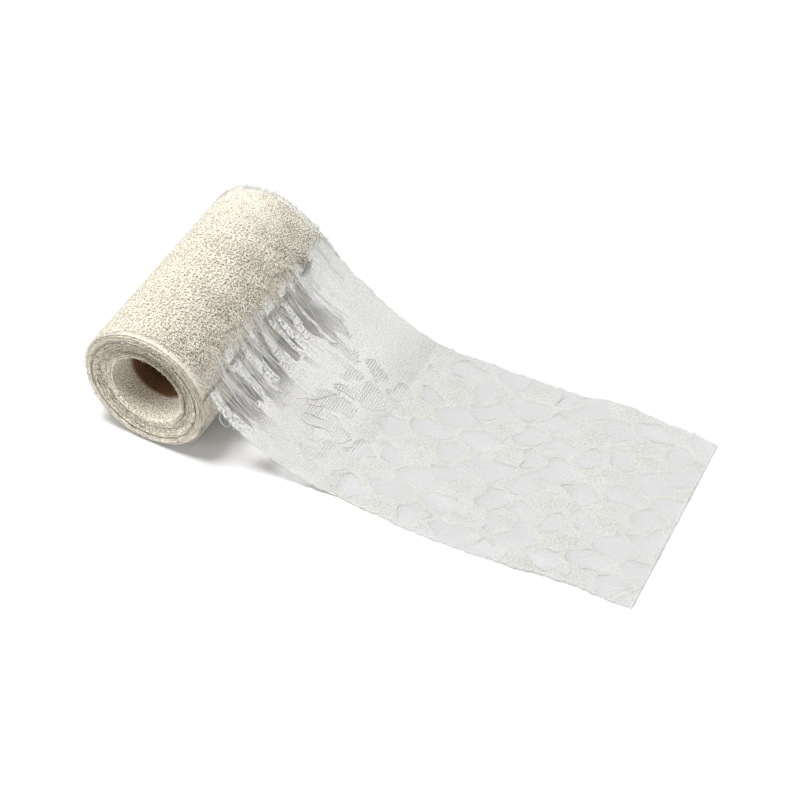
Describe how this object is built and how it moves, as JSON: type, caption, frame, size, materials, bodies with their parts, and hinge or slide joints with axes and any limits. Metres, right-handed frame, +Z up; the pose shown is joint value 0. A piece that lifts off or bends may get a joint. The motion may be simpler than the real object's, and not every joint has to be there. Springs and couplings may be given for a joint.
{
  "type": "lace table runner roll",
  "caption": "Roll of wide lace on a paper tube; the loose end comes over the top, hangs to the table and lies flat. The roll turns to pay out lace.",
  "frame": {"origin": "middle of the object's footprint on the table, at table height", "axes": "+X is the way the loose end runs out from the roll, +Y is along the roll's tube away from the end with the sunk laps, +Z is up"},
  "size_m": [0.3714, 0.173, 0.089],
  "materials": {
    "lace": "matte",
    "tube_board": "matte",
    "paper_tape": "satin"
  },
  "bodies": {
    "loose_end": {"last_lap": "lace", "hanging_lace": "lace", "laid_lace": "lace"},
    "roll": {"core_inner_ply": "tube_board", "core_middle_ply": "tube_board", "core_outer_ply": "tube_board", "start_tape": "paper_tape", "inner_laps": "lace", "middle_laps": "lace", "outer_laps": "lace"}
  },
  "joints": [
    {"name": "roll_turn", "type": "hinge", "parent": "loose_end", "child": "roll", "pos_m": [-0.14125, -0.0115, 0.0445], "axis": [0, 1, 0], "continuous": true}
  ]
}
